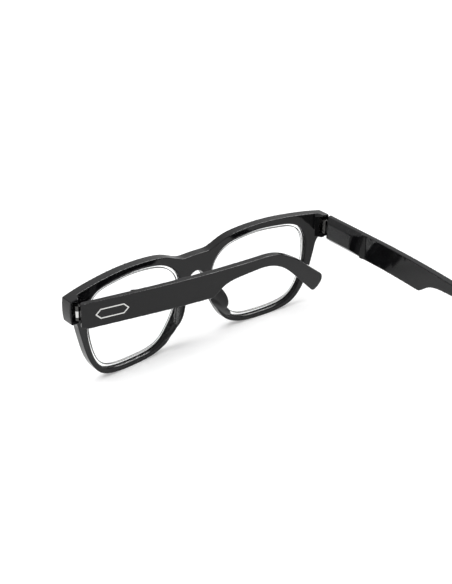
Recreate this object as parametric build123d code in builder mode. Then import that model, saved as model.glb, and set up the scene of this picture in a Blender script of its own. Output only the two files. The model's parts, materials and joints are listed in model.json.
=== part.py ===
"""Black full-rim spectacles with spring hinges: one temple folded across the back, the other open.

Everything is laid out in the fitting frame: +X is the wearer's left, +Y runs back along the open
temples, +Z is up along the hinge pins, and Z = 0 is near the foot of the rims. At the end each
piece is set down on a level surface, where the spectacles stand on both rims and the open tip.
"""
import os
from math import degrees

from build123d import *

# Front, seen from ahead
half_width = 70.4
front_depth = 4.4
bridge_gap = 17.6
brow_height = 47.5
bridge_top = 42.0
bridge_arch = 34.0
endpiece_top = 44.9
endpiece_foot = 34.3
long_edge = 80.0
front_rounding = 2.0
rear_rounding = 0.9
# Front, seen from above: two tangent arcs bend it around the face
bridge_front_y = -6.9
inner_bend = 420.0
outer_bend = 225.0
bend_change_x = 40.0
band_reach = 74.0
band_margin = 6.0
endpiece_rear_y = 6.25
# The front leans forward at the top, against the temples
pantoscopic_tilt = 1.75
# Lens
lens_thickness = 1.3
lens_set_back = 1.6
groove_depth = 0.8
groove_play = 0.03
outline_steps = 28
# Moulded nose pads: rounded lobes on the back of the rim, leaning outwards
pad_half_width = 1.5
pad_lean = 20.0
# Temples
temple_front_y = 7.15
temple_top = 44.55
temple_outer_x = 70.65
temple_height = 11.7
temple_length = 120.6
block_thickness = 4.55
blade_thickness = 2.6
tip_thickness = 3.3
bow_start = 30.0
bow_per_100 = 11.4
left_fold = 79.8
# Hinge
pin_inset = 3.34
pin_ahead = 0.33
eye_radius = 1.2
upper_eye_height = 2.18
middle_eye_height = 2.9
lower_eye_height = 1.4
eye_gap = 0.08
axle_z = 39.35
shank_radius = 0.60
screw_head_radius = 0.85
screw_head_height = 0.55
slot_width = 0.3
slot_depth = 0.25
screw_play = 0.02
turning_play = 0.05
plate_width = 2.8
plate_front_y = 2.2
plate_rear_y = 4.6
neck_width = 1.8
swing_play = 0.35
recess_inner_x = 65.8
recess_outer_x = 69.3
recess_foot = 36.0
recess_roof = 44.1
# Spring cartridge
housing_start = 2.6
housing_length = 11.6
housing_width = 2.6
housing_height = 4.2
housing_inset = 2.8
housing_wall = 0.8
shaft_radius = 0.5
shaft_end = 11.6
stop_radius = 0.95
stop_length = 0.7
spring_mean_radius = 0.8
spring_wire = 0.13
spring_turns = 9
spring_bore = 1.02
# Generic mark let into the left temple's outer face
mark_start = 6.0
mark_length = 15.0
mark_height = 4.6
mark_line = 0.5
mark_depth = 0.25
pin_x = temple_outer_x - pin_inset
pin_y = temple_front_y - pin_ahead
axle_x = temple_outer_x - housing_inset


# ---------------------------------------------------------------- layout helpers

lean = (
    Pos(0, temple_front_y, temple_top)
    * Rot(pantoscopic_tilt, 0, 0)
    * Pos(0, -temple_front_y, -temple_top)
)
face_on = Plane(lean * Plane.XZ.location)


def front_y(x, depth=0.0):
    """Y of the front's curved face at x, or of the surface that lies depth behind it."""
    run = abs(x)
    inner = min(run, bend_change_x)
    y = bridge_front_y + inner**2 / (2 * inner_bend)
    if run > bend_change_x:
        out = run - bend_change_x
        slope = bend_change_x / inner_bend
        y += slope * out + out**2 / (2 * outer_bend)
    return y + depth


def temple_bow(s):
    """How far the temple has curved inwards at s behind its front end."""
    return bow_per_100 * (max(0.0, s - bow_start) / 100) ** 2


def bend_line(depth):
    """The front's bent line seen from above, depth behind its face, from right to left."""
    edge_y = front_y(bend_change_x, depth)
    tip_y = front_y(band_reach, depth)
    middle = ThreePointArc((-bend_change_x, edge_y), (0, front_y(0, depth)), (bend_change_x, edge_y))
    TangentArc(middle @ 0, (-band_reach, tip_y), tangent=-(middle % 0))
    TangentArc(middle @ 1, (band_reach, tip_y), tangent=middle % 1)


def band(near, far):
    """A curved sheet that follows the front, from near to far behind its face."""
    with BuildPart() as sheet:
        with BuildSketch(Plane(lean * Pos(0, 0, -band_margin))):
            with BuildLine():
                bend_line(near)
                bend_line(far)
                for side in (-band_reach, band_reach):
                    Line((side, front_y(side, near)), (side, front_y(side, far)))
            make_face()
        extrude(amount=brow_height + 2 * band_margin)
    return sheet.part


def half_outline():
    """Right half of the front's outline, from the bridge's top round to the arch under it."""
    with BuildLine() as line:
        brow = Spline(
            (0, bridge_top),
            (3.5, bridge_top - 0.1),
            (7.0, bridge_top - 0.05),
            (10.5, 43.0),
            (15.5, 45.1),
            (25, 46.9),
            (37, brow_height),
            (54, 46.7),
            (63, 45.85),
            (half_width - 0.4, endpiece_top),
        )
        side = ThreePointArc(brow @ 1, (half_width + 0.1, 40.5), (half_width - 0.5, endpiece_foot))
        under = Line(side @ 1, (68.2, endpiece_foot - 0.1))
        Spline(
            under @ 1,
            (66.3, 32.9),
            (65.1, 30.2),
            (64.4, 27.0),
            (63.5, 23.4),
            (62.3, 18.7),
            (58.5, 9.3),
            (53.2, 3.3),
            (45, 0.65),
            (33, 0.1),
            (22.5, 1.5),
            (15.9, 5.0),
            (11.4, 11.2),
            (8.2, 17.9),
            (6.1, 25.0),
            (4.2, 31.2),
            (1.9, 33.5),
            (0, bridge_arch),
        )
    return line.line


def lens_outline(grow):
    """The left lens opening seen from ahead, moved outwards all round by a margin."""
    opening = Spline(
        (bridge_gap / 2, 30.5),
        (9.9, 34.8),
        (12.8, 38.6),
        (17.6, 41.7),
        (25, 43.5),
        (35, 44.3),
        (46, 43.6),
        (54.0, 42.0),
        (57.9, 38.9),
        (59.6, 34.0),
        (60.1, 27.5),
        (58.9, 18.2),
        (56.6, 11.4),
        (52.6, 6.1),
        (46, 3.4),
        (36, 2.55),
        (27, 3.0),
        (21.0, 4.9),
        (16.6, 9.2),
        (12.3, 16.0),
        (9.7, 24.0),
        periodic=True,
        mode=Mode.PRIVATE,
    )
    spots = []
    for step in range(outline_steps):
        share = step / outline_steps
        along = opening % share
        spots.append(opening @ share + grow * Vector(-along.Y, along.X))
    grown = Spline(*spots, periodic=True, mode=Mode.PRIVATE)
    with BuildLine() as line:
        add(grown.trim(0, 0.5))
        add(grown.trim(0.5, 1))
    return line.line


def lens_prism(grow):
    """The grown left lens outline, run right through the front."""
    with BuildPart() as prism:
        with BuildSketch(face_on):
            with BuildLine():
                add(lens_outline(grow))
            make_face()
        extrude(amount=30, both=True)
    return prism.part


# ---------------------------------------------------------------- front frame

def silhouette():
    """The whole front's outline, run right through."""
    with BuildPart() as prism:
        with BuildSketch(face_on):
            with BuildLine():
                add(half_outline())
                mirror(half_outline(), about=Plane.YZ)
            make_face()
        extrude(amount=30, both=True)
    return prism.part


def endpiece_block():
    """The left endpiece's extra depth behind the rim, before the silhouette trims it."""
    root_x = 64.8
    with BuildPart() as block:
        with BuildSketch(Plane(lean * Pos(0, 0, endpiece_foot - 0.4))):
            Polygon(
                (root_x - 1, front_y(root_x - 1, front_depth / 2)),
                (root_x, front_y(root_x, front_depth) - 0.1),
                (root_x + 1.6, endpiece_rear_y - 0.1),
                (half_width + 1, endpiece_rear_y + 0.1),
                (half_width + 1, front_y(half_width + 1)),
                align=None,
            )
        extrude(amount=brow_height - endpiece_foot)
    return block.part


def pad_lobe(x, z, slant, radius, reach):
    """The tip of a discus that rises by reach from the back of the left rim at x and z."""
    with BuildPart() as discus:
        with BuildSketch():
            Ellipse(pad_half_width, radius)
            Rectangle(2 * pad_half_width, radius, align=(Align.CENTER, Align.MAX), mode=Mode.SUBTRACT)
        revolve(axis=Axis.X)
    foot = lean * Pos(x, front_y(x, front_depth), z)
    return foot * Rot(0, -slant, 0) * Rot(0, 0, -pad_lean) * Pos(0, reach - radius, 0) * discus.part


def nose_pad():
    """The left moulded nose pad: a deep lobe, and a low one that carries it into the rim's corner."""
    with BuildPart() as pad:
        add(pad_lobe(10.3, 18.3, slant=20, radius=9.5, reach=6.7))
        add(pad_lobe(13.7, 11.0, slant=40, radius=9.0, reach=3.8))
        add(band(front_depth - 1, front_depth + 8), mode=Mode.INTERSECT)
    return pad.part


def both_sides(shape):
    """A left-hand shape with its mirror image."""
    return [shape, mirror(shape, about=Plane.YZ, mode=Mode.PRIVATE)]


def under_edges(piece):
    """The long edges that run under both rims, those at the front first."""
    return piece.edges().filter_by(lambda edge: edge.length > long_edge).sort_by(Axis.Y)


middle_eye_top = axle_z + middle_eye_height / 2
middle_eye_foot = axle_z - middle_eye_height / 2
stack_top = middle_eye_top + eye_gap + upper_eye_height
stack_foot = middle_eye_foot - eye_gap - lower_eye_height
stack_height = stack_top - stack_foot
stack_middle = (stack_top + stack_foot) / 2
near_lens = lens_set_back - groove_play
far_lens = lens_set_back + lens_thickness + groove_play

recess_x = (recess_inner_x + recess_outer_x) / 2
recess_z = (recess_foot + recess_roof) / 2
recess_depth = 4.0

with BuildPart() as hinge_pocket:
    with Locations((pin_x, (plate_front_y + plate_rear_y) / 2, stack_middle)):
        Box(plate_width, plate_rear_y - plate_front_y, stack_height)
    with Locations((recess_x, plate_rear_y + recess_depth / 2, recess_z)):
        Box(recess_outer_x - recess_inner_x, recess_depth, recess_roof - recess_foot)

with BuildPart() as lens_groove:
    add(lens_prism(groove_depth + groove_play))
    add(band(near_lens, far_lens), mode=Mode.INTERSECT)

with BuildPart() as front_frame:
    add(band(0, front_depth))
    add(both_sides(endpiece_block()))
    add(silhouette(), mode=Mode.INTERSECT)
    add(both_sides(lens_prism(0)), mode=Mode.SUBTRACT)
    fillet(under_edges(front_frame)[:2], front_rounding)
    fillet(under_edges(front_frame)[-2:], rear_rounding)
    add(both_sides(nose_pad()))
    add(both_sides(lens_groove.part), mode=Mode.SUBTRACT)
    add(both_sides(hinge_pocket.part), mode=Mode.SUBTRACT)

with BuildPart() as left_lens:
    add(lens_prism(groove_depth))
    add(band(lens_set_back, lens_set_back + lens_thickness), mode=Mode.INTERSECT)

# ---------------------------------------------------------------- hinge, left hand

with BuildPart() as left_hinge_leaf:
    with Locations((pin_x, (plate_front_y + plate_rear_y) / 2, stack_middle)):
        Box(plate_width, plate_rear_y - plate_front_y, stack_height)
    for eye_foot, eye_height in (
        (stack_foot, lower_eye_height),
        (stack_top - upper_eye_height, upper_eye_height),
    ):
        eye_z = eye_foot + eye_height / 2
        with Locations((pin_x, pin_y, eye_z)):
            Cylinder(eye_radius, eye_height)
        with Locations((pin_x, (plate_rear_y + pin_y) / 2, eye_z)):
            Box(neck_width, pin_y - plate_rear_y, eye_height)
    with Locations((pin_x, pin_y, stack_middle)):
        Cylinder(shank_radius + screw_play, stack_height, mode=Mode.SUBTRACT)
    with Locations((pin_x, pin_y, stack_top - screw_head_height / 2)):
        Cylinder(screw_head_radius + screw_play, screw_head_height, mode=Mode.SUBTRACT)

with BuildPart() as left_hinge_screw:
    with Locations((pin_x, pin_y, stack_middle)):
        Cylinder(shank_radius, stack_height)
    with Locations((pin_x, pin_y, stack_top - screw_head_height / 2)):
        Cylinder(screw_head_radius, screw_head_height)
    with Locations((pin_x, pin_y, stack_top)):
        Box(2 * screw_head_radius, slot_width, 2 * slot_depth, mode=Mode.SUBTRACT)


def along_temple(s, x=axle_x, z=axle_z):
    """A plane across the left temple at s behind its front end, facing rearwards."""
    return Plane((x, temple_front_y + s, z), x_dir=(1, 0, 0), z_dir=(0, 1, 0))


neck_end = housing_start - 0.3
neck_x = (pin_x + axle_x) / 2

with BuildPart() as left_hinge_slider:
    with Locations((pin_x, pin_y, axle_z)):
        Cylinder(eye_radius, middle_eye_height)
    with BuildSketch(Plane((neck_x, pin_y, axle_z), x_dir=(1, 0, 0), z_dir=(0, 1, 0))):
        Rectangle(neck_width, middle_eye_height)
    extrude(amount=temple_front_y + neck_end - pin_y)
    with BuildSketch(along_temple(neck_end)):
        Circle(shaft_radius)
    extrude(amount=shaft_end - neck_end)
    with Locations((pin_x, pin_y, stack_middle)):
        Cylinder(shank_radius + turning_play, stack_height, mode=Mode.SUBTRACT)

with BuildPart() as left_slider_stop:
    with BuildSketch(along_temple(shaft_end - stop_length)):
        Circle(stop_radius)
        Circle(shaft_radius + screw_play, mode=Mode.SUBTRACT)
    extrude(amount=stop_length)

with BuildPart() as left_spring_housing:
    with BuildSketch(along_temple(housing_start)):
        Rectangle(housing_width, housing_height)
    extrude(amount=housing_length)
    with BuildSketch(along_temple(housing_start + housing_wall)):
        Circle(spring_bore)
    extrude(amount=housing_length, mode=Mode.SUBTRACT)
    with BuildSketch(along_temple(housing_start)):
        Circle(shaft_radius + turning_play)
    extrude(amount=housing_length, mode=Mode.SUBTRACT)

spring_start = housing_start + housing_wall + spring_wire
spring_end = shaft_end - stop_length - spring_wire
spring_length = spring_end - spring_start

with BuildPart() as left_hinge_spring:
    with BuildLine():
        coil = Helix(
            spring_length / spring_turns,
            spring_length,
            spring_mean_radius,
            center=(axle_x, temple_front_y + spring_start, axle_z),
            direction=(0, 1, 0),
        )
    with BuildSketch(Plane(coil @ 0, z_dir=coil % 0)):
        Circle(spring_wire)
    sweep(path=coil, is_frenet=True)

# ---------------------------------------------------------------- temple, left hand


def side_point(s, drop):
    """A point of the temple's side view: s behind its front end, drop below its top edge."""
    return (temple_front_y + s, temple_top - drop)


def temple_side():
    """The temple seen from the side: a deep blade that steps down and bends behind the ear."""
    with BuildPart() as prism:
        with BuildSketch(Plane.YZ):
            with BuildLine():
                top = Line(side_point(0, 0), side_point(87, 0))
                bend = Spline(
                    top @ 1,
                    side_point(96.3, 1.7),
                    side_point(103.4, 5.4),
                    side_point(temple_length - 1.2, 17.7),
                    tangents=[(1, 0), (0.79, -0.61)],
                )
                heel = Spline(
                    bend @ 1,
                    side_point(temple_length, 20.4),
                    side_point(116.9, 24.9),
                    side_point(114.0, 24.2),
                    tangents=[(0.79, -0.61), (-0.7, 0.72)],
                )
                tail = Spline(
                    heel @ 1,
                    side_point(104.9, 14.9),
                    side_point(96.5, 7.7),
                    side_point(88.5, 4.95),
                    side_point(80.0, 5.15),
                    side_point(71.5, 6.1),
                    side_point(66.2, 7.8),
                    side_point(61.6, 11.2),
                    side_point(59.0, temple_height + 0.35),
                    tangents=[(-0.7, 0.72), (-1, 0)],
                )
                foot = Line(tail @ 1, side_point(3, temple_height))
                toe = Line(foot @ 1, side_point(0, temple_height - 1.3))
                Line(toe @ 1, top @ 0)
            make_face()
        extrude(amount=100)
    return prism.part


def temple_plan():
    """The temple seen from above: the hinge block, the thin blade and its inward bow."""
    outer_s = [0, bow_start, 60, 90, temple_length + 2]
    inner = [
        (temple_length + 2, tip_thickness),
        (90, tip_thickness),
        (60, 3.0),
        (36, blade_thickness),
        (26, blade_thickness),
        (17.5, block_thickness),
    ]

    def plan_point(s, depth):
        return (temple_outer_x - temple_bow(s) - depth, temple_front_y + s)

    with BuildPart() as prism:
        with BuildSketch(Plane.XY):
            with BuildLine():
                straight = Line(plan_point(0, 0), plan_point(bow_start, 0))
                outer = Spline(*[plan_point(s, 0) for s in outer_s[1:]], tangents=[(0, 1), (-0.2, 1)])
                inner_points = [plan_point(s, depth) for s, depth in inner]
                end = Line(outer @ 1, inner_points[0])
                back = Spline(*inner_points[:4])
                scoop = Polyline(*inner_points[3:], plan_point(2.4, block_thickness))
                Polyline(scoop @ 1, plan_point(0, 1.2), straight @ 0)
            make_face()
        extrude(amount=temple_top + 5)
    return prism.part


def edge_chamfer(drop, sign):
    """A wedge that slopes the hinge block's inner top edge, or its inner bottom edge."""
    inner_x = temple_outer_x - block_thickness
    edge_z = temple_top - drop
    with BuildPart() as wedge:
        with BuildSketch(Plane.XZ.offset(-temple_front_y + 1)):
            Polygon(
                (inner_x - 1, edge_z + sign * 1.0),
                (inner_x + 2.2, edge_z + sign * 1.0),
                (inner_x + 2.2, edge_z),
                (inner_x, edge_z - sign * 2.2),
                (inner_x - 1, edge_z - sign * 2.2),
                align=None,
            )
        extrude(amount=-24)
    return wedge.part


def temple_blank():
    """The left temple's body with its cartridge pocket, before anything is let into its face."""
    with BuildPart() as blank:
        add(temple_side())
        add(temple_plan(), mode=Mode.INTERSECT)
        add(edge_chamfer(0, 1), mode=Mode.SUBTRACT)
        add(edge_chamfer(temple_height, -1), mode=Mode.SUBTRACT)
        with BuildSketch(along_temple(housing_start)):
            Rectangle(housing_width, housing_height)
        extrude(amount=housing_length + 0.1, mode=Mode.SUBTRACT)
        with BuildSketch(along_temple(-1, x=neck_x)):
            Rectangle(neck_width + 2 * swing_play, middle_eye_height + 2 * swing_play)
        extrude(amount=housing_start + 1.05, mode=Mode.SUBTRACT)
        with Locations((pin_x, pin_y, stack_middle)):
            Cylinder(eye_radius + swing_play, stack_height + 2 * swing_play, mode=Mode.SUBTRACT)
    return blank.part


mark_face = Plane(
    (temple_outer_x, temple_front_y + mark_start + mark_length / 2, temple_top - 6.0),
    x_dir=(0, 1, 0),
    z_dir=(1, 0, 0),
)

with BuildPart() as left_temple_mark:
    with BuildSketch(mark_face):
        nose = mark_height / 2
        corners = [
            (-mark_length / 2, 0),
            (-mark_length / 2 + nose, nose),
            (mark_length / 2 - nose, nose),
            (mark_length / 2, 0),
            (mark_length / 2 - nose, -nose),
            (-mark_length / 2 + nose, -nose),
        ]
        Polygon(*corners, align=None)
        offset(amount=-mark_line, mode=Mode.SUBTRACT)
    extrude(amount=-mark_depth)

with BuildPart() as left_temple:
    add(temple_blank())
    add(left_temple_mark.part, mode=Mode.SUBTRACT)

# ---------------------------------------------------------------- right hand, by mirror image


def mirror_piece(shape):
    """The right-hand twin of a left-hand piece."""
    with BuildPart() as twin:
        add(mirror(shape, about=Plane.YZ))
    return twin


fixed_left = {
    "left_lens": left_lens,
    "left_hinge_leaf": left_hinge_leaf,
    "left_hinge_screw": left_hinge_screw,
}
folding_left = {
    "left_temple": left_temple,
    "left_temple_mark": left_temple_mark,
    "left_hinge_slider": left_hinge_slider,
    "left_slider_stop": left_slider_stop,
    "left_hinge_spring": left_hinge_spring,
    "left_spring_housing": left_spring_housing,
}
right = {
    name.replace("left", "right"): mirror_piece(piece.part)
    for name, piece in {**fixed_left, **folding_left}.items()
    if name not in ("left_temple", "left_temple_mark")
}
right["right_temple"] = mirror_piece(temple_blank())

# ---------------------------------------------------------------- standing on a level surface


def lowest(piece, tilt):
    """How low a piece reaches when the spectacles are rocked back by tilt degrees."""
    return (Rot(-tilt, 0, 0) * piece.part).bounding_box().min.Z


rest_tilt = 8.0
for _ in range(6):
    gap = lowest(right["right_temple"], rest_tilt) - lowest(front_frame, rest_tilt)
    rest_tilt += degrees(gap / temple_length)

pin = Pos(pin_x, pin_y, 0)
fold = pin * Rot(0, 0, left_fold) * Pos(-pin_x, -pin_y, 0)
rock = Rot(-rest_tilt, 0, 0)
open_pieces = {"front_frame": front_frame, **fixed_left, **right}
places = {name: rock for name in open_pieces}
places.update({name: rock * fold for name in folding_left})
pieces = {**open_pieces, **folding_left}
boxes = [(places[name] * piece.part).bounding_box() for name, piece in pieces.items()]
low = [min(b.min.X for b in boxes), min(b.min.Y for b in boxes), min(b.min.Z for b in boxes)]
high = [max(b.max.X for b in boxes), max(b.max.Y for b in boxes)]
settle = Pos(-(low[0] + high[0]) / 2, -(low[1] + high[1]) / 2, -low[2])

os.makedirs("parts", exist_ok=True)
for name, piece in pieces.items():
    piece.part.locate(settle * places[name])
    piece.part.label = name
    export_step(piece.part, f"parts/{name}.step")

pin_foot = settle * rock * pin
print("rest tilt", round(rest_tilt, 4), "settle", settle.position)
for x in (pin_x, -pin_x):
    place = settle * rock * Pos(x, pin_y, axle_z)
    print("pin", place.position)
print("pin direction", (rock * Pos(0, 0, 1)).position)
print("right slide direction", (rock * Pos(0, 1, 0)).position)
print("left slide direction", (rock * Rot(0, 0, left_fold) * Pos(0, 1, 0)).position)
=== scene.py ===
"""Looks for the black spectacles: moulded shells, clear lenses and steel hinges on a white studio floor."""
import json
from math import cos, radians, sin

import bmesh
import bpy
from mathutils import Matrix, Vector


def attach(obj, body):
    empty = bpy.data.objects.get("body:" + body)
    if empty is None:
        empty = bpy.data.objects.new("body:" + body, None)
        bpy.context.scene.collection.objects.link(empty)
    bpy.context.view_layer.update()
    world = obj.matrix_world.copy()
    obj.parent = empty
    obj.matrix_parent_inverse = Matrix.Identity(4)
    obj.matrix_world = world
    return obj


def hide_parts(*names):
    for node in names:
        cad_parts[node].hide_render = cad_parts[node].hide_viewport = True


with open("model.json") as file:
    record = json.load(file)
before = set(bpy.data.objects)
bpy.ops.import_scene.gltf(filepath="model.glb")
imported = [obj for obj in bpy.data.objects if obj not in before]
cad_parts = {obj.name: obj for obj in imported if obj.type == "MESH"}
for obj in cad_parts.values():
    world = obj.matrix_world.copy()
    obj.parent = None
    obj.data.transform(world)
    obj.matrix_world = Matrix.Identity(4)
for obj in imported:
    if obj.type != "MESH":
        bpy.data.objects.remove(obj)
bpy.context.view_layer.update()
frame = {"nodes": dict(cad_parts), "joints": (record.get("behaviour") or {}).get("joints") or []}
nodes = frame["nodes"]
joints = {joint["name"]: joint for joint in frame["joints"]}

# Lengths in metres
MM = 0.001
WELD_DISTANCE = 1e-7

# Moulded shells
SHELL_VOXEL = 0.20 * MM
SHELL_PASSES = 5
SMOOTHING = 0.5

# Nose pads: their middle on the wearer's left, and how far round it they are smoothed
FRONT_MIDDLE = 0.07 * MM
PAD_MIDDLE = Vector((11.8, -60.2, 14.0)) * MM
PAD_RANGE = 12.0 * MM
PAD_FADE = 3.0 * MM
PAD_PASSES = 30

# Hinges: the box round each one where the front's reflection is turned down as painted shade, and the bevel
# on the steel
RECESS_ACROSS = (64.5 * MM, 70.0 * MM)
RECESS_UP = (33.3 * MM, 42.9 * MM)
RECESS_FRONT = -56.0 * MM
STEEL_BEVEL = 0.07 * MM
BEVEL_SEGMENTS = 2
BEVEL_ANGLE = radians(30.0)

# Lens edge lines: a painted reflection of the lens's ground edge
WALL_SLOPE = 0.6
RING_INSET = 1.9 * MM
RING_RADIUS = 0.15 * MM
RING_ROUNDNESS = 2

# Studio
FLOOR_SIZE = 30.0
FLOOR_ALBEDO = 0.80
FLOOR_GLOW = 0.25
SKYLIGHT_PLACE = (0.42, 0.16, 0.9)
SKYLIGHT_SPREAD = radians(50.0)
SKYLIGHT_POWER = 1.9
PANEL_PLACE = (-0.52, 0.03, 0.74)
PANEL_AIM = (0, -0.03, 0.03)
PANEL_SIZE = (0.64, 0.5)
PANEL_POWER = 14.0
HORIZON_LEVEL = 0.65
CEILING_LEVEL = 0.8
CEILING_HEIGHT = 0.6

# Camera: its eye measured from the middle of the two hinge pins, and the way it looks
EYE_FROM_HINGES = Vector((0.29721, 0.408985, 0.187996))
AZIMUTH = radians(216.705)
ELEVATION = radians(21.603)
ROLL = radians(4.837)
FOCAL_LENGTH = 77.05
SENSOR_WIDTH = 36.0
NEAR_CLIP = 0.01


# ---------------------------------------------------------------- materials

class Recipe:
    """A new material with its Principled shader, and short calls that add nodes to it."""

    def __init__(self, name):
        self.material = bpy.data.materials.new(name)
        self.material.use_nodes = True
        self.tree = self.material.node_tree
        self.shader = self.tree.nodes["Principled BSDF"]
        self.place = self.node("ShaderNodeTexCoord").outputs["Object"]

    def node(self, kind, **inputs):
        made = self.tree.nodes.new(kind)
        for name, value in inputs.items():
            self.put(made.inputs[name.replace("_", " ")], value)
        return made

    def put(self, socket, value):
        if isinstance(value, bpy.types.NodeSocket):
            self.tree.links.new(value, socket)
        else:
            socket.default_value = value

    def set(self, **inputs):
        for name, value in inputs.items():
            self.put(self.shader.inputs[name.replace("_", " ")], value)

    def noise(self, scale, detail=3.0, roughness=0.5, stretch=(1, 1, 1)):
        spread = self.node("ShaderNodeMapping", Vector=self.place, Scale=stretch)
        made = self.node(
            "ShaderNodeTexNoise",
            Vector=spread.outputs["Vector"],
            Scale=scale,
            Detail=detail,
            Roughness=roughness,
        )
        return made.outputs["Fac"]

    def spread(self, value, low, high, start=0.0, end=1.0):
        made = self.node("ShaderNodeMapRange", Value=value)
        for name, number in (("From Min", start), ("From Max", end), ("To Min", low), ("To Max", high)):
            made.inputs[name].default_value = number
        return made.outputs["Result"]

    def mix(self, amount, first, second):
        made = self.tree.nodes.new("ShaderNodeMix")
        made.data_type = "RGBA"
        self.put(made.inputs["Factor"], amount)
        self.put(made.inputs[6], first)
        self.put(made.inputs[7], second)
        return made.outputs[2]

    def total(self, first, second, way="ADD"):
        made = self.tree.nodes.new("ShaderNodeMath")
        made.operation = way
        self.put(made.inputs[0], first)
        self.put(made.inputs[1], second)
        return made.outputs[0]

    def bump(self, height, distance, strength=1.0, under=None):
        made = self.node("ShaderNodeBump", Height=height, Distance=distance, Strength=strength)
        if under is not None:
            self.put(made.inputs["Normal"], under)
        return made.outputs["Normal"]

    def edges(self, start):
        """1 on sharp convex edges, 0 on flat and hollow surfaces."""
        geometry = self.node("ShaderNodeNewGeometry")
        return self.spread(geometry.outputs["Pointiness"], 0.0, 1.0, 0.5 + start, 0.5 + 3 * start)


def hinge_painted_shade_box(m):
    """1 in a box round each hinge, where the front gets painted shade, and 0 elsewhere."""
    spot = m.node("ShaderNodeSeparateXYZ", Vector=m.place)
    across = m.total(spot.outputs["X"], 0.0, "ABSOLUTE")
    inside = m.total(spot.outputs["Y"], RECESS_FRONT, "GREATER_THAN")
    for value, low, high in ((across, *RECESS_ACROSS), (spot.outputs["Z"], *RECESS_UP)):
        above = m.total(value, low, "GREATER_THAN")
        below = m.total(value, high, "LESS_THAN")
        inside = m.total(inside, m.total(above, below, "MULTIPLY"), "MULTIPLY")
    return inside


def black_plastic(name):
    """Injection-moulded black: polished, with faint flow waviness and slightly rubbed edges."""
    m = Recipe(name)
    grain = m.noise(2600.0, 4.0, 0.6)
    cloud = m.noise(55.0, 4.0, 0.6)
    rub = m.edges(0.012)
    rubbed = m.total(rub, m.spread(m.noise(420.0, 4.0, 0.6), 0.0, 1.0, 0.35, 0.65), "MULTIPLY")
    tint = m.mix(cloud, (0.0022, 0.0022, 0.0026, 1), (0.0040, 0.0040, 0.0045, 1))
    m.set(Base_Color=m.mix(m.total(rubbed, 0.5, "MULTIPLY"), tint, (0.02, 0.02, 0.021, 1)))
    gloss = m.spread(cloud, 0.05, 0.10)
    m.set(Roughness=m.total(gloss, m.total(rubbed, 0.08, "MULTIPLY")))
    m.set(IOR=1.345)
    waves = m.bump(m.noise(190.0, 2.0, 0.4), 0.00003, 0.25)
    m.set(Normal=m.bump(grain, 0.000004, 0.25, waves))
    return m


def front_plastic_painted_shade():
    """The same black, with its reflection turned down round the hinges: painted shade in the hinge
    recesses.
    """
    m = black_plastic("front_black")
    # Painted shade: far less reflection inside the box round each hinge
    m.set(Specular_IOR_Level=m.spread(hinge_painted_shade_box(m), 0.5, 0.05))
    return m.material


def steel(name, base, low, high, along, scale):
    """Satin steel with fine scratches along one direction and slightly darker patches.

    Its roughness varies between low and high.
    """
    m = Recipe(name)
    brushed = m.noise(scale, 5.0, 0.65, along)
    patch = m.noise(300.0, 3.0, 0.5)
    dark = tuple(0.72 * part for part in base[:3]) + (1,)
    m.set(Base_Color=m.mix(m.spread(patch, 0.0, 0.7), base, dark), Metallic=1.0)
    m.set(Roughness=m.spread(m.total(brushed, patch, "MULTIPLY"), low, high, 0.1, 0.5))
    m.set(Normal=m.bump(brushed, 0.00001, 0.4))
    return m.material


def clear_lens():
    """Clear lens plastic with a faint tint and a few soft wipe marks."""
    m = Recipe("lens_clear")
    wipe = m.spread(m.noise(90.0, 6.0, 0.7, (1, 1, 7)), 0.0, 0.035, 0.45, 0.8)
    m.set(Base_Color=(0.985, 0.992, 0.99, 1), Roughness=wipe, IOR=1.5, Transmission_Weight=1.0)
    return m.material


def painted_edge_reflection():
    """Painted reflection of the lens's ground edge: dark grey lines with a fine grit."""
    m = Recipe("lens_edge_reflection")
    grit = m.noise(3000.0, 4.0, 0.7)
    m.set(Base_Color=m.mix(grit, (0.03, 0.031, 0.031, 1), (0.07, 0.071, 0.071, 1)))
    m.set(Roughness=m.spread(grit, 0.5, 0.7), Normal=m.bump(grit, 0.00002, 0.5))
    return m.material


def white_mark():
    """The white inlay: matt, with a faint grain."""
    m = Recipe("mark_white")
    grain = m.noise(2400.0, 4.0, 0.6)
    m.set(Base_Color=m.mix(grain, (0.60, 0.60, 0.59, 1), (0.74, 0.74, 0.72, 1)))
    m.set(Roughness=m.spread(grain, 0.45, 0.62), Normal=m.bump(grain, 0.00001, 0.5))
    return m.material


def floor_white():
    """Matt white that glows a little, so that the floor stays white away from the lamps."""
    m = Recipe("floor_white")
    m.set(Base_Color=(FLOOR_ALBEDO, FLOOR_ALBEDO, FLOOR_ALBEDO, 1))
    m.set(Roughness=0.8, Specular_IOR_Level=0.1)
    m.set(Emission_Color=(1, 1, 1, 1), Emission_Strength=FLOOR_GLOW)
    return m.material


FRAME_BLACK = black_plastic("frame_black").material
FRONT_BLACK = front_plastic_painted_shade()
# Painted shade: the hinge steel is made near black for the shade in the hinge recesses
HINGE_STEEL_PAINTED_SHADE = steel("hinge_steel", (0.07, 0.069, 0.067, 1), 0.18, 0.34, (1, 1, 6), 900.0)
# Painted highlight: bright steel for the left sliding eye only
EYE_STEEL_PAINTED_HIGHLIGHT = steel("eye_steel_painted_highlight", (0.62, 0.62, 0.61, 1), 0.10, 0.22, (1, 1, 6), 900.0)
SPRING_STEEL = steel("spring_steel", (0.58, 0.58, 0.58, 1), 0.18, 0.35, (1, 1, 1), 1500.0)
LENS_CLEAR = clear_lens()
# Painted reflection: the material of the lines drawn inside each lens for its ground edge
LENS_EDGE_REFLECTION = painted_edge_reflection()
MARK_WHITE = white_mark()


# ---------------------------------------------------------------- pieces

def placed(name, data):
    """A new object with this data, in the scene."""
    made = bpy.data.objects.new(name, data)
    bpy.context.collection.objects.link(made)
    return made


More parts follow.
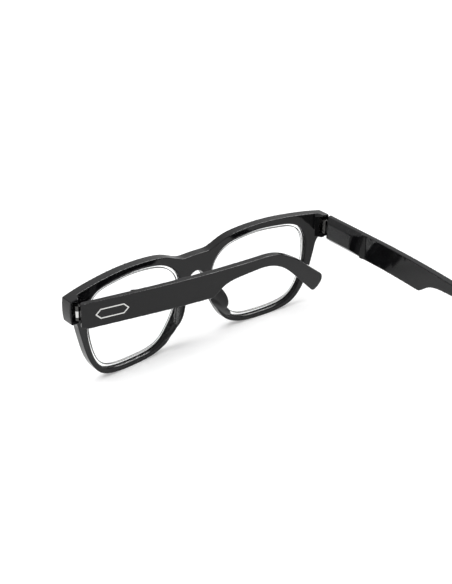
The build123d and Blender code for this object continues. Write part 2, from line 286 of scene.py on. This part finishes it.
def smoothing(piece, name, passes):
    smooth = piece.modifiers.new(name, "SMOOTH")
    smooth.factor = SMOOTHING
    smooth.iterations = passes
    return smooth


def shade_smooth(mesh):
    for face in mesh.polygons:
        face.use_smooth = True


def welded(node):
    """The CAD node's mesh as one closed bmesh, its split corners joined."""
    mesh = bmesh.new()
    mesh.from_mesh(nodes[node].data)
    bmesh.ops.remove_doubles(mesh, verts=mesh.verts, dist=WELD_DISTANCE)
    return mesh


def pad_weight(place):
    """1 at the middle of either nose pad, fading to 0 away from it."""
    spot = Vector((abs(place.x - FRONT_MIDDLE), place.y, place.z))
    away = (spot - PAD_MIDDLE).length
    return min(1.0, max(0.0, (PAD_RANGE - away) / PAD_FADE))


def blend_pads(piece):
    """Softens the nose pads further, so that they flow out of the rims."""
    group = piece.vertex_groups.new(name="pads")
    for vert in piece.data.vertices:
        weight = pad_weight(vert.co)
        if weight > 0:
            group.add([vert.index], weight, "REPLACE")
    smoothing(piece, "blend", PAD_PASSES).vertex_group = group.name


def shell(name, node, body, material):
    """A moulded piece: the CAD solid with every edge softened."""
    mesh = welded(node)
    data = bpy.data.meshes.new(name)
    mesh.to_mesh(data)
    mesh.free()
    piece = placed(name, data)
    remesh = piece.modifiers.new("even", "REMESH")
    remesh.mode = "VOXEL"
    remesh.voxel_size = SHELL_VOXEL
    smoothing(piece, "soften", SHELL_PASSES)
    shapes = bpy.context.evaluated_depsgraph_get()
    final = bpy.data.meshes.new_from_object(piece.evaluated_get(shapes))
    piece.modifiers.clear()
    piece.data = final
    final.name = name
    final.materials.clear()
    final.materials.append(material)
    shade_smooth(final)
    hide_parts(node)
    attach(piece, body)
    return piece


def finish_node(node, material):
    """A CAD node keeps its shape and gets a finished material."""
    nodes[node].material_slots[0].material = material


def soften_node(node):
    """A hairline bevel on a CAD node's hard edges, so that they catch the light."""
    weld = nodes[node].modifiers.new("weld", "WELD")
    weld.merge_threshold = WELD_DISTANCE
    bevel = nodes[node].modifiers.new("edge", "BEVEL")
    bevel.width = STEEL_BEVEL
    bevel.segments = BEVEL_SEGMENTS
    bevel.limit_method = "ANGLE"
    bevel.angle_limit = BEVEL_ANGLE


def on_one_flat(edge):
    """True where a face of the lens meets its side wall."""
    return sum(abs(face.normal.y) > WALL_SLOPE for face in edge.link_faces) == 1


def inset_outline(node):
    """The outlines of the lens's two faces, drawn inwards: points, and the pairs that they join in."""
    mesh = welded(node)
    outline = [edge for edge in mesh.edges if on_one_flat(edge)]
    corners = list(dict.fromkeys(vert for edge in outline for vert in edge.verts))
    order = {vert: place for place, vert in enumerate(corners)}
    points = []
    for vert in corners:
        inward = Vector((vert.normal.x, 0, vert.normal.z)).normalized()
        points.append(vert.co - RING_INSET * inward)
    pairs = [[order[vert] for vert in edge.verts] for edge in outline]
    mesh.free()
    return points, pairs


def edge_reflection_ring(name, node, body):
    """Two thin lines inside the lens, a painted reflection of its ground edge as seen through the glass.

    They are looks only: the real edge sits in the groove of the rim.
    """
    points, pairs = inset_outline(node)
    data = bpy.data.meshes.new(name)
    data.from_pydata(points, pairs, [])
    ring = placed(name, data)
    bpy.ops.object.select_all(action="DESELECT")
    ring.select_set(True)
    bpy.context.view_layer.objects.active = ring
    bpy.ops.object.convert(target="CURVE")
    ring.data.bevel_depth = RING_RADIUS
    ring.data.bevel_resolution = RING_ROUNDNESS
    bpy.ops.object.convert(target="MESH")
    ring.data.materials.clear()
    ring.data.materials.append(LENS_EDGE_REFLECTION)
    shade_smooth(ring.data)
    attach(ring, body)


front_shell = shell("front_shell", "front_frame", "front", FRONT_BLACK)
blend_pads(front_shell)
shell("left_temple_shell", "left_temple", "left_side", FRAME_BLACK)
shell("right_temple_shell", "right_temple", "right_side", FRAME_BLACK)

for side in ("left", "right"):
    finish_node(f"{side}_lens", LENS_CLEAR)
    for part in ("hinge_leaf", "hinge_screw", "hinge_slider", "slider_stop", "spring_housing"):
        finish_node(f"{side}_{part}", HINGE_STEEL_PAINTED_SHADE)
        soften_node(f"{side}_{part}")
    finish_node(f"{side}_hinge_spring", SPRING_STEEL)
    # Painted reflection: two dark lines inside each lens for its ground edge
    edge_reflection_ring(f"{side}_lens_edge_reflection", f"{side}_lens", "front")
# Only the left sliding eye gets the bright steel, a painted highlight; the right one keeps the darkened
# steel, painted shade
finish_node("left_hinge_slider", EYE_STEEL_PAINTED_HIGHLIGHT)
finish_node("left_temple_mark", MARK_WHITE)


# ---------------------------------------------------------------- studio

def floor():
    bpy.ops.mesh.primitive_plane_add(size=FLOOR_SIZE, location=(0, 0, 0))
    ground = bpy.context.object
    ground.name = "floor"
    ground.data.materials.append(floor_white())
    return ground


def group(name, pieces):
    """A collection that a lamp can be kept to."""
    made = bpy.data.collections.new(name)
    for piece in pieces:
        made.objects.link(piece)
    return made


def lamp(name, kind, place, aim, power, lit):
    """A light turned towards aim that falls only on the pieces in the collection lit."""
    light = bpy.data.lights.new(name, kind)
    light.energy = power
    stand = placed(name, light)
    stand.location = place
    stand.rotation_euler = (Vector(aim) - Vector(place)).to_track_quat("-Z", "Y").to_euler()
    stand.light_linking.receiver_collection = lit
    return light


def skylight(lit):
    """A wide soft light from one side."""
    light = lamp("skylight", "SUN", SKYLIGHT_PLACE, (0, 0, 0), SKYLIGHT_POWER, lit)
    light.angle = SKYLIGHT_SPREAD


def edge_light(lit):
    """A panel above and to the wearer's right, which shows as thin lines on the rounded edges."""
    light = lamp("edge_light", "AREA", PANEL_PLACE, PANEL_AIM, PANEL_POWER, lit)
    light.shape = "RECTANGLE"
    light.size, light.size_y = PANEL_SIZE


def surroundings():
    """A pale studio all round, a little brighter towards the ceiling."""
    world = bpy.data.worlds.new("studio")
    world.use_nodes = True
    tree = world.node_tree
    sky = tree.nodes["Background"]
    sky.inputs["Color"].default_value = (1, 1, 1, 1)
    spot = tree.nodes.new("ShaderNodeTexCoord")
    height = tree.nodes.new("ShaderNodeSeparateXYZ")
    ramp = tree.nodes.new("ShaderNodeMapRange")
    ramp.inputs["From Min"].default_value = 0.0
    ramp.inputs["From Max"].default_value = CEILING_HEIGHT
    ramp.inputs["To Min"].default_value = HORIZON_LEVEL
    ramp.inputs["To Max"].default_value = CEILING_LEVEL
    tree.links.new(spot.outputs["Generated"], height.inputs["Vector"])
    tree.links.new(height.outputs["Z"], ramp.inputs["Value"])
    tree.links.new(ramp.outputs["Result"], sky.inputs["Strength"])
    bpy.context.scene.world = world


def camera():
    """Looks at the spectacles from behind, above and the wearer's left."""
    pins = [Vector(joints[name]["pos_m"]) for name in ("left_fold", "right_fold")]
    hinge_middle = (pins[0] + pins[1]) / 2
    across = cos(ELEVATION)
    forward = Vector((sin(AZIMUTH) * across, cos(AZIMUTH) * across, -sin(ELEVATION)))
    level = forward.cross(Vector((0, 0, 1))).normalized()
    right = Matrix.Rotation(ROLL, 3, forward) @ level
    up = right.cross(forward)
    data = bpy.data.cameras.new("camera")
    data.lens = FOCAL_LENGTH
    data.sensor_width = SENSOR_WIDTH
    data.clip_start = NEAR_CLIP
    eye = placed("camera", data)
    turn = Matrix((right, up, -forward)).transposed().to_4x4()
    eye.matrix_world = Matrix.Translation(hinge_middle + EYE_FROM_HINGES) @ turn
    bpy.context.scene.camera = eye


spectacles = group("spectacles", [piece for piece in bpy.context.scene.objects if piece.type == "MESH"])
ground_only = group("ground_only", [floor()])
skylight(ground_only)
surroundings()
edge_light(spectacles)
camera()
bpy.context.scene.view_settings.view_transform = "Standard"
